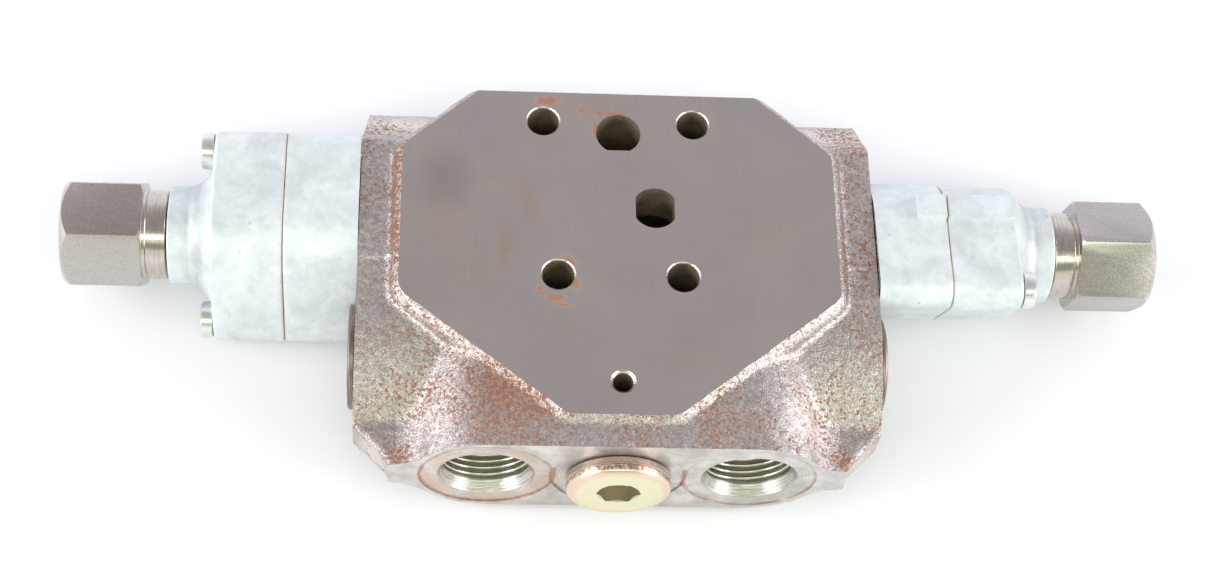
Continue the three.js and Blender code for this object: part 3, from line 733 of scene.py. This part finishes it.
def machiningTools():
    face = bodyPlan["portFace"]
    bores, tools = [milledIron, seatIron, boredIron, threadIron], []
    for x in (-bodyPlan["spacing"], bodyPlan["spacing"]):
        floor = face + ports["spotDepth"]
        profile = [(face - 2, ports["spot"]), (floor, ports["spot"]), (floor, ports["lip"]),
                   (floor + 0.3, ports["seat"]),
                   (floor + ports["seatDepth"], ports["seatEnd"]),
                   (floor + ports["seatDepth"] + 0.6, ports["bore"]),
                   (face + ports["boreDepth"], ports["bore"]),
                   (face + ports["boreDepth"] + 4, ports["way"]), (-2, ports["way"])]
        tools.append(turned("port", "y", profile, (x, mid), bores, [0, 0, 1, 1, 1, 3, 2, 2], (0, 2), 96))
        tools.append(turned("gallery", "x", [(x - 6, 13), (x + 6, 13)], (0, mid), bores, [2], (2, 2)))
    profile = [(face - 2, ports["spot"]), (face + 0.6, ports["spot"]), (face + 0.6, 13.6), (-64, 13.6),
               (-64, 9.05), (-17, 9.05)]
    tools.append(turned("plugSeat", "y", profile, (0, mid), bores, [0, 0, 2, 2, 2], (0, 2), 96))
    tools.append(turned("spoolBore", "x", [(-82, 10.05), (82, 10.05)], (0, mid), bores, [2], (2, 2), 96))
    for side in (-1, 1):
        profile = sorted([(side * 60, 12.2), (side * 82, 12.2)])
        tools.append(turned("cavity", "x", profile, (cavityPlace, mid), bores, [2], (2, 2)))
        profile = sorted([(side * 64, 3.1), (side * 82, 3.1)])
        for y, z in screwAxes(side):
            tools.append(turned("tapping", "x", profile, (y, z), bores, [2], (2, 2), 32))
    radius, flare = holes["tieRadius"], holes["tieChamfer"]
    for x, y in holes["tieRods"]:
        profile = [(-1, radius + flare + 1), (flare, radius), (deep - flare, radius),
                   (deep + 1, radius + flare + 1)]
        tools.append(turned("tieRod", "z", profile, (x, y), bores, [1, 2, 1], (1, 1), 96))
    x, y, radius, flare = holes["sense"]
    profile = [(-1, 4.1), (9.8, 4.1), (9.8, 1.7), (30, 1.7), (30, radius), (deep - flare, radius),
               (deep + 1, radius + flare + 1)]
    tools.append(turned("sense", "z", profile, (x, y), bores, [2, 2, 2, 2, 2, 1], (2, 1)))
    for (x, y, radius, flat), alongX in ((holes["supply"], True), (holes["tank"], False)):
        outline = clippedCircle(x, y, radius, flat, alongX)
        tools.append(loft("passage", "z", [(-1, outline), (deep + 1, outline)], bores, [2], (2, 2)))
    for passage, radius in holes["seals"].items():
        x, y = holes[passage][:2]
        ring = turned("groove", "z", [(-1, radius + 1), (1.8, radius + 1)], (x, y), bores, [2], (2, 2))
        tools.append(combine(ring, [turned("core", "z", [(-2, radius - 1), (3, radius - 1)], (x, y))],
                             "DIFFERENCE"))
    whole = tools.pop(0)
    whole.name = "cutters"
    return combine(whole, tools, "UNION", "EXACT")


def valveBody():
    plan = bodyPlan
    body = joined("valveBody", [plateBlank(), shoulderBlank(), bossBlank()])
    castSkin(body, plan["voxel"], plan["passes"], 0.32, 5, castIron)
    place = np.empty(len(body.data.vertices) * 3, np.float32)
    body.data.vertices.foreach_get("co", place)
    place = place.reshape(-1, 3)
    # a mould line stands up across the left shoulder
    x, y, z = place.T / mm
    place[:, 2] += (x < -64) * (z > 41) * 0.5 * mm * np.exp(-((y + 17 + 0.6 * np.sin(x)) / 0.8) ** 2)
    body.data.vertices.foreach_set("co", place.ravel())
    edge = [(78.8, plan["back"]), (plan["half"], 27), (plan["half"], plan["portFace"])]
    envelope = loft("envelope", "z", [(z, mirrored(edge)) for z in (0, deep)],
                    [milledIron, groundIron], [0], (1, 1))
    combine(body, [envelope], "INTERSECT", "EXACT")
    print("body blank", len(body.data.polygons), "faces")
    combine(body, [machiningTools()], "DIFFERENCE", "EXACT")
    return handOver(body, "valve", ["valve_body"])


body = valveBody()
print("valve body", len(body.data.polygons), "faces")


# Spring housings, end caps and adapters, drawn for the right end

endPlan = {"start": 80.6, "seam": 103.6, "gap": 0.02, "end": 126.2, "bossEnd": 139.8, "capRadius": 21.6,
           "pad": (94.3, 8.2, 47.8), "cone": (20.9, 133.0, 15.4), "chamber": 16,
           "voxel": 0.5, "passes": 3}
adapterPlan = {"hexStart": 147.6, "hexEnd": 172.2, "across": 31.75, "neck": 14.0, "chamfer": 2.8,
               "face": 15.4, "bore": 6.6, "rightTurn": 43.5, "leftTurn": -1.3}


def ovalOutline(grow=0.0):
    y, z, radius = lug["y"], lug["z"], lug["radius"]
    lean = math.degrees(math.atan2(z, -y))
    tangent = math.degrees(math.acos((endPlan["capRadius"] - radius) / math.hypot(y, z)))
    a, b = lean - tangent, lean + tangent
    big, small = endPlan["capRadius"] + grow, radius + grow
    return (arc((-y, mid + z), small, a, b, 14) + arc((0, mid), big, b, a + 180, 20)
            + arc((y, mid - z), small, a + 180, b + 180, 14) + arc((0, mid), big, b + 180, a + 360, 20))


def springHousing():
    plan = endPlan
    end = plan["seam"] - plan["gap"]
    padStart, padBack, padTop = plan["pad"]
    housing = loft("rightSpringHousing", "x", [(plan["start"] - 2, ovalOutline(0.1)),
                                               (end - 0.25, ovalOutline()), (end, ovalOutline(-0.2))])
    castSkin(housing, plan["voxel"], plan["passes"], 0.14, 3, castAlloy)
    pad = block("pad", (padStart, 0, mid), (end - 0.15, padBack, padTop), [castAlloy])
    bevelled(pad, 0.25)
    combine(housing, [pad], "UNION", "EXACT")
    tools = [block("faced", (70, -40, -10), (plan["start"], 40, 60), [turnedSteel]),
             turned("chamber", "x", [(70, plan["chamber"]), (110, plan["chamber"])], (0, mid), [turnedSteel])]
    for y, z in screwAxes(1):
        tools.append(turned("clearance", "x", [(70, 3.3), (110, 3.3)], (y, z), [turnedSteel], sides=32))
    return combine(housing, tools, "DIFFERENCE", "EXACT")


def endCap():
    plan = endPlan
    start = plan["seam"] + plan["gap"]
    coneTop, coneEnd, coneRadius = plan["cone"]
    _, padBack, padTop = plan["pad"]
    shell = loft("cap", "x", [(start, ovalOutline(-0.2)), (start + 0.25, ovalOutline()),
                              (plan["end"] - 0.8, ovalOutline(-0.2)), (plan["end"], ovalOutline(-1.2))])
    cone = turned("cone", "x", [(plan["end"] - 8, coneTop), (plan["end"] + 0.4, coneTop), (coneEnd - 3, 17.0),
                                (coneEnd, coneRadius), (plan["bossEnd"], coneRadius)], (0, mid))
    cap = castSkin(joined("rightEndCap", [shell, cone]), plan["voxel"], plan["passes"], 0.14, 3, castAlloy)
    pad = block("pad", (start + 0.15, 0, mid), (plan["end"] - 0.4, padBack, padTop), [castAlloy])
    bevelled(pad, 0.25)
    combine(cap, [pad], "UNION", "EXACT")
    step = plan["bossEnd"] - 2.4
    tools = [turned("chamber", "x", [(90, plan["chamber"]), (120, plan["chamber"])], (0, mid), [turnedSteel]),
             turned("way", "x", [(119, 4), (130, 4)], (0, mid), [turnedSteel], sides=32),
             turned("stemHole", "x", [(129, 9), (step, 9), (step, 10.8), (150, 10.8)], (0, mid),
                    [turnedSteel]),
             turned("dressed", "x", [(plan["bossEnd"] - 0.3, 30), (150, 30)], (0, mid), [turnedSteel])]
    for y, z in screwAxes(1):
        tools.append(turned("clearance", "x", [(90, 3.3), (128, 3.3)], (y, z), [turnedSteel], sides=32))
        tools.append(turned("faced", "x", [(plan["end"] - 0.05, 6.0), (plan["end"] + 5, 6.0)], (y, z),
                            [castAlloy], sides=64))
    whole = tools.pop(0)
    return combine(cap, [combine(whole, tools, "UNION", "EXACT")], "DIFFERENCE", "EXACT")


def pilotAdapter(name, turn):
    plan = adapterPlan
    across = plan["across"]
    outline = hexagon(across, turn, (0, mid), 0.35)
    hexBar = loft("bar", "x", [(plan["hexStart"], outline), (plan["hexEnd"], outline)],
                  [drawnSteel, turnedSteel], [0], (1, 1))
    corner = across / 2 / math.cos(math.pi / 6)
    dome = turned("dome", "x", [(plan["hexStart"], corner - 1.1), (plan["hexStart"] + 0.8, corner + 0.1),
                                (plan["hexEnd"] - plan["chamfer"], corner + 0.02),
                                (plan["hexEnd"], plan["face"])],
                  (0, mid), [turnedSteel], sides=180)
    adapter = combine(hexBar, [dome], "INTERSECT", "EXACT")
    adapter.name = name
    seam = endPlan["bossEnd"] + 0.2
    neck, shoulder = plan["neck"], plan["hexStart"]
    stem = turned("stem", "x", [(130, 7.6), (131, 8.8), (seam, 8.8), (seam, 13.6), (seam + 0.4, neck),
                                (shoulder - 1.4, neck), (shoulder - 1.0, neck - 0.35),
                                (shoulder - 0.4, neck - 0.35), (shoulder + 1, neck)],
                  (0, mid), [turnedSteel], sides=128)
    combine(adapter, [stem], "UNION", "EXACT")
    bore = turned("bore", "x", [(129, 3), (158, 3), (160, plan["bore"]), (plan["hexEnd"] - 1.2, plan["bore"]),
                                (plan["hexEnd"] + 1, plan["bore"] + 2.2)],
                  (0, mid), [turnedSteel], sides=64)
    combine(adapter, [bore], "DIFFERENCE", "EXACT")
    return bevelled(adapter, 0.18, 28)


pieces = {}
housing, cap = springHousing(), endCap()
for obj, copyName in ((housing, "leftSpringHousing"), (cap, "leftEndCap")):
    pieces[copyName] = turnedOverCopy(obj, copyName)
    pieces[obj.name] = obj
pieces["rightPilotAdapter"] = pilotAdapter("rightPilotAdapter", adapterPlan["rightTurn"])
leftDrawn = pilotAdapter("leftDrawn", adapterPlan["leftTurn"])
pieces["leftPilotAdapter"] = turnedOverCopy(leftDrawn, "leftPilotAdapter")
bpy.data.objects.remove(leftDrawn)
for side in ("left", "right"):
    handOver(pieces[side + "SpringHousing"], "valve", [side + "_spring_housing"])
    handOver(pieces[side + "EndCap"], "valve", [side + "_end_cap"])
    handOver(pieces[side + "PilotAdapter"], "valve", [side + "_pilot_adapter"])
print("end pieces", {name: len(obj.data.polygons) for name, obj in pieces.items()})


# Plugs

plugPlan = {"centre": {"flange": 16, "thickness": 2.9, "shank": 13.3, "length": 14, "across": 12,
                       "bevel": 1.35, "face": -82.9},
            "side": {"flange": 16.3, "thickness": 2.0, "shank": 12, "length": 19, "across": 10,
                     "bevel": 0.6, "face": 80.5}}


def socketPlug(name, plan, materials):
    # drawn along +Z from under the flange, and turned to its place afterwards
    thickness, flange, bevel = plan["thickness"], plan["flange"], plan["bevel"]
    body = turned(name, "z", [(-plan["length"], plan["shank"] - 1), (1 - plan["length"], plan["shank"]),
                              (0, plan["shank"]), (0, flange - 0.25), (0.25, flange),
                              (thickness - bevel, flange),
                              (thickness - bevel * 0.45, flange - bevel * 0.3),
                              (thickness, flange - bevel)], (0, 0), materials, sides=128)
    half = plan["across"] / 2
    flare = turned("flare", "z", [(thickness - 0.5, half), (thickness + 1, half + 1.5)], (0, 0), materials,
                   sides=64)
    outline = hexagon(plan["across"])
    key = loft("key", "z", [(thickness - 6.5, outline), (thickness + 1, outline)], materials)
    drill = turned("drill", "z", [(thickness - 8.5, 0.3), (thickness - 6.4, 4.6), (thickness - 5, 4.6)],
                   (0, 0), materials, sides=48)
    cut = combine(key, [flare, drill], "UNION", "EXACT")
    return combine(body, [cut], "DIFFERENCE", "EXACT")


centre = plugPlan["centre"]
centrePlug = socketPlug("centrePlug", centre, [yellowZinc])
centrePlug.data.transform(Matrix.Translation((0, centre["face"] * mm, mid * mm))
                          @ Matrix.Rotation(math.pi / 2, 4, "X"))
handOver(centrePlug, "valve", ["centre_plug"])
for name, sign in (("leftCavityPlug", -1), ("rightCavityPlug", 1)):
    plug = socketPlug(name, plugPlan["side"], [plugSteel])
    plug.data.transform(Matrix.Translation((sign * plugPlan["side"]["face"] * mm, cavityPlace * mm, mid * mm))
                        @ Matrix.Rotation(sign * math.pi / 2, 4, "Y"))
    handOver(plug, "valve", [("left" if sign < 0 else "right") + "_cavity_plug"])

washerFace = bodyPlan["portFace"] + 0.3
washerEdge = [(-2.75, 15.3), (-2.5, 15.7), (-2.25, 15.9), (-0.6, 15.9), (-0.3, 15.75), (0, 15.3)]
washer = turned("centrePlugWasher", "y", [(washerFace + step, radius) for step, radius in washerEdge],
                (0, mid), [washerZinc], sides=128)
combine(washer, [turned("eye", "y", [(-90, 13.8), (-70, 13.8)], (0, mid), [washerZinc], sides=96)],
        "DIFFERENCE", "EXACT")
handOver(washer, "valve", ["centre_plug_washer"])
print("plugs done")


# Trees for what repeats or winds

def newTree(name, inputs):
    tree = bpy.data.node_groups.new(name, "GeometryNodeTree")
    tree.interface.new_socket("Geometry", in_out="OUTPUT", socket_type="NodeSocketGeometry")
    for label, kind, value in inputs:
        socket = tree.interface.new_socket(label, in_out="INPUT", socket_type="NodeSocket" + kind)
        if value is not None:
            socket.default_value = value
    return tree, tree.nodes.new("NodeGroupInput"), tree.nodes.new("NodeGroupOutput")


def grown(name, tree, values, start=None):
    # runs a tree on an object and keeps the plain mesh it makes
    obj = start or linked(name, bpy.data.meshes.new(name))
    modifier = obj.modifiers.new("tree", "NODES")
    modifier.node_group = tree
    for item in tree.interface.items_tree:
        if item.item_type == "SOCKET" and item.in_out == "INPUT" and item.name in values:
            modifier[item.identifier] = values[item.name]
    return settle(obj)


def windingTree():
    # a wire wound on a helix along Z, with flat closed ends
    tree, given, result = newTree("winding", [
        ("Turns", "Float", 5.0), ("Radius", "Float", 0.01), ("Height", "Float", 0.02),
        ("Wire", "Float", 0.001), ("Sides", "Int", 12), ("Finish", "Material", None)])
    helix = addNode(tree, "GeometryNodeCurveSpiral", {"Resolution": 40}, {
        "Rotations": given.outputs["Turns"], "Start Radius": given.outputs["Radius"],
        "End Radius": given.outputs["Radius"], "Height": given.outputs["Height"]})
    normals = addNode(tree, "GeometryNodeSetCurveNormal", {"mode": "Z_UP"}, {"Curve": helix.outputs[0]})
    section = addNode(tree, "GeometryNodeCurvePrimitiveCircle", links={
        "Radius": given.outputs["Wire"], "Resolution": given.outputs["Sides"]})
    wire = addNode(tree, "GeometryNodeCurveToMesh", {"Fill Caps": True}, {
        "Curve": normals.outputs[0], "Profile Curve": section.outputs[0]})
    real = addNode(tree, "GeometryNodeRealizeInstances", links={0: wire.outputs[0]})
    painted = addNode(tree, "GeometryNodeSetMaterial", links={
        "Geometry": real.outputs[0], "Material": given.outputs["Finish"]})
    tree.links.new(painted.outputs[0], result.inputs[0])
    return tree


def headsTree():
    # one screw set at each point of the object it runs on, turned by that point's own turn about Y
    tree, given, result = newTree("screwSet", [("Geometry", "Geometry", None), ("Screw", "Object", None),
                                               ("Finish", "Material", None)])
    turn = addNode(tree, "GeometryNodeInputNamedAttribute", {"data_type": "FLOAT_VECTOR", "Name": "turn"})
    screw = addNode(tree, "GeometryNodeObjectInfo", {"As Instance": True}, {"Object": given.outputs["Screw"]})
    rotation = addNode(tree, "FunctionNodeEulerToRotation", links={0: turn.outputs[0]})
    placed = addNode(tree, "GeometryNodeInstanceOnPoints", links={
        "Points": given.outputs["Geometry"], "Instance": screw.outputs["Geometry"],
        "Rotation": rotation.outputs[0]})
    real = addNode(tree, "GeometryNodeRealizeInstances", links={0: placed.outputs[0]})
    painted = addNode(tree, "GeometryNodeSetMaterial", links={
        "Geometry": real.outputs[0], "Material": given.outputs["Finish"]})
    tree.links.new(painted.outputs[0], result.inputs[0])
    return tree


winding, screwSet = windingTree(), headsTree()
toX, toY = Matrix.Rotation(math.pi / 2, 4, "Y"), Matrix.Rotation(-math.pi / 2, 4, "X")
springs = {"centring": {"radius": 11.2, "wire": 1.3, "start": 91.3, "end": 117.7, "turns": 5.5},
           "compensator": {"radius": 6.6, "wire": 0.9, "start": -66.4, "end": -46.4, "turns": 5.5}}


def spring(name, plan, axis, node, pushed, fixed):
    # fixed is the end that stays; both ends and what the spring pushes are handed over, and the coil is baked
    # in place
    length = plan["end"] - plan["start"] - 2 * plan["wire"]
    coil = grown(name, winding, {"Turns": plan["turns"], "Radius": plan["radius"] * mm, "Height": length * mm,
                                 "Wire": plan["wire"] * mm, "Sides": 14, "Finish": springWire})
    start = (plan["start"] + plan["wire"]) * mm
    place = {"x": Matrix.Translation((start, 0, mid * mm)) @ toX,
             "y": Matrix.Translation((0, start, mid * mm)) @ toY}[axis]
    coil.data.transform(place)
    sign = 1
    if node.startswith("left"):
        coil.data.transform(turnedOver)
        sign = -1
    loose = "start" if fixed == "end" else "end"
    ends = [spread(axis, sign * plan[k], 0, mid) for k in (fixed, loose)]
    return handOver(coil, "valve", [node], (pushed, *ends))


spring("rightCentringSpring", springs["centring"], "x", "right_centring_spring", "spool", "end")
spring("leftCentringSpring", springs["centring"], "x", "left_centring_spring", "spool", "end")
spring("compensatorSpring", springs["compensator"], "y", "compensator_spring", "compensator", "start")

threads = [("leftPortThread", "y", (-40, -75.7), ports["bore"] + 0.1, ports["pitch"], 6.6, 0.6, threadIron),
           ("rightPortThread", "y", (40, -75.7), ports["bore"] + 0.1, ports["pitch"], 6.6, 0.6, threadIron),
           ("leftPilotThread", "x", (0, -171.6), 6.9, 1.337, 7.4, 0.62, turnedSteel),
           ("rightPilotThread", "x", (0, 161.7), 6.9, 1.337, 7.4, 0.62, turnedSteel)]
for name, axis, (across, start), radius, pitch, turns, size, finish in threads:
    # a round ridge wound on the wall of its bore: the worn crest of each turn catches a thin line of light
    ridge = grown(name, winding, {"Turns": turns, "Radius": radius * mm, "Height": pitch * turns * mm,
                                  "Wire": size * mm, "Sides": 12, "Finish": finish})
    place = {"x": Matrix.Translation((start * mm, 0, mid * mm)) @ toX,
             "y": Matrix.Translation((across * mm, start * mm, mid * mm)) @ toY}[axis]
    ridge.data.transform(place)
    shadeByAngle(ridge, 50)
    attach(ridge, "valve")

capScrew = {"head": 5.8, "length": 3.9, "shank": 3.0, "end": 67, "across": 5}
headFace = endPlan["end"] + 0.05
head, length = capScrew["head"], capScrew["length"]
shank, tip = capScrew["shank"], capScrew["end"] - headFace
screw = turned("screw", "x", [(tip, shank - 0.6), (tip + 1, shank), (0, shank), (0, head - 0.3),
                              (0.25, head), (length - 0.75, head), (length - 0.3, head - 0.15),
                              (length - 0.05, head - 0.6), (length, head - 0.9)],
               (0, 0), [whiteZinc], sides=64)
outline = hexagon(capScrew["across"])
combine(screw, [loft("key", "x", [(1.4, outline), (7, outline)], [whiteZinc])], "DIFFERENCE", "EXACT")
screwPoints = bpy.data.meshes.new("capScrews")
screwPlaces = [(sign * headFace, y, z) for sign in (1, -1) for y, z in screwAxes(sign)]
screwPoints.from_pydata([[c * mm for c in p] for p in screwPlaces], [], [])
turns = screwPoints.attributes.new("turn", "FLOAT_VECTOR", "POINT")
for i, (x, _, _) in enumerate(screwPlaces):
    turns.data[i].vector = (0, 0 if x > 0 else math.pi, 0)
screwBase = linked("capScrews", screwPoints)
capScrews = grown("capScrews", screwSet, {"Screw": screw, "Finish": whiteZinc}, screwBase)
bpy.data.objects.remove(screw)
screwNodes = [f"{side}_{place}_cap_screw" for side in ("left", "right") for place in ("front", "back")]
handOver(capScrews, "valve", screwNodes)
print("springs, threads and screws", len(capScrews.data.polygons))


# Turned pieces inside, and the nodes that keep their CAD shape

spoolPlan = {"radius": 9.9, "neck": 6.2, "grooves": [(-66, -51), (-28, -2), (4.5, 28), (51, 66)]}
land, neck = spoolPlan["radius"], spoolPlan["neck"]
profile = [(-95, 5.4), (-94.4, 6), (-88, 6), (-88, 9.4), (-87.5, land)]
for start, end in spoolPlan["grooves"]:
    profile += [(start, land), (start + 0.3, neck + 1), (start + 1.2, neck)]
    profile += [(end - 1.2, neck), (end - 0.3, neck + 1), (end, land)]
profile += [(87.5, land), (88, 9.4), (88, 6), (94.4, 6), (95, 5.4)]
spool = turned("spoolTurned", "x", profile, (0, mid), [hardSteel], sides=72)
screwHoles = [turned("hole", "x", [(start, 2.6), (start + 12, 2.6)], (0, mid), [hardSteel], sides=32)
              for start in (-96, 84)]
combine(spool, screwHoles, "DIFFERENCE", "EXACT")
handOver(spool, "spool", ["spool"])

finishes = {"seal": nitrile, "seat_screw": turnedSteel, "spring_seat": hardSteel, "spring_guide": hardSteel,
            "compensator_piston": hardSteel, "shuttle": hardSteel}
for name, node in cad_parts.items():
    for part, finish in finishes.items():
        if part in name:
            node.data.materials.clear()
            node.data.materials.append(finish)
print("inner pieces done")


# Floor, light and camera

def floorMaterial():
    # Matt white paper
    material, tree, shader = newMaterial("paper", Roughness=0.8)
    tone = noiseOf(tree, objectPoint(tree), 60, 2)
    tree.links.new(ramp(tree, tone, [(0.2, "#f4f4f8"), (0.8, "#f8f8fb")]), shader.inputs["Base Color"])
    return material


floor = block("floor", (-3000, -3000, -10), (3000, 3000, -0.02), [floorMaterial()])

world = bpy.data.worlds.new("studio")
bpy.context.scene.world = world
world.use_nodes = True
sky = world.node_tree
background = sky.nodes["Background"]
direction = addNode(sky, "ShaderNodeTexCoord").outputs["Generated"]
parts = addNode(sky, "ShaderNodeSeparateXYZ", links={0: direction})
# grey overhead, near white low down, and a pale green band high in front that the front slopes mirror
height = ramp(sky, parts.outputs[2], [(0.0, "#edf0f8"), (0.45, "#e5e6ef"), (0.74, "#b9b6b8"),
                                      (0.87, "#a4a0a1"), (1.0, "#989596")])
forward = ramp(sky, maths(sky, "MULTIPLY_ADD", parts.outputs[1], -0.5, 0.5), [(0.62, 0.0), (0.76, 1.0)])
frontTone = ramp(sky, parts.outputs[2], [(0.0, "#e9ebe6"), (0.30, "#dcdfd2"), (0.42, "#9c9a90"),
                                         (0.57, "#9c9a90"), (0.66, "#e8f5d4"),
                                         (0.84, "#e8f5d2"), (0.94, "#989596")])
sky.links.new(mix(sky, forward, height, frontTone), background.inputs["Color"])
background.inputs["Strength"].default_value = 1.36


def softbox(name, place, size, power, colour):
    light = bpy.data.lights.new(name, "AREA")
    light.shape, light.size, light.size_y = "RECTANGLE", size[0], size[1]
    light.energy, light.color = power, linear(colour)[:3]
    obj = linked(name, light)
    obj.location = place
    obj.rotation_euler = (Vector((0, 0, 0)) - Vector(place)).to_track_quat("-Z", "Y").to_euler()
    return obj


softbox("leftLight", (-2.1, -0.5, 0.95), (2.4, 1.2), 42, "#f8faff")
softbox("rightLight", (2.1, -0.55, 0.9), (2.4, 1.2), 38, "#fafbff")
softbox("frontLight", (0.0, -1.45, 2.0), (2.4, 0.5), 8, "#f4f9ee")

cameraPlan = {"azimuth": -9.06, "elevation": 61.694, "roll": 9.268, "lens": 66.72, "distance": 711.9,
              "target": (-2.32, -16.76, 23.0)}
az, el, roll = (math.radians(cameraPlan[k]) for k in ("azimuth", "elevation", "roll"))
back = Vector((math.sin(az) * math.cos(el), -math.cos(az) * math.cos(el), math.sin(el)))
right = (-back).cross(Vector((0, 0, 1))).normalized()
up = right.cross(-back)
rolledRight = math.cos(roll) * right + math.sin(roll) * up
rolledUp = -math.sin(roll) * right + math.cos(roll) * up
camera = bpy.data.cameras.new("camera")
camera.lens, camera.sensor_width = cameraPlan["lens"], 36
cameraObject = linked("camera", camera)
turn = Matrix((rolledRight, rolledUp, back)).transposed().to_4x4()
eye = (Vector(cameraPlan["target"]) + back * cameraPlan["distance"]) * mm
cameraObject.matrix_world = Matrix.Translation(eye) @ turn
camera.clip_start, camera.clip_end = 0.01, 20
bpy.context.scene.camera = cameraObject
bpy.context.scene.view_settings.view_transform = "Standard"
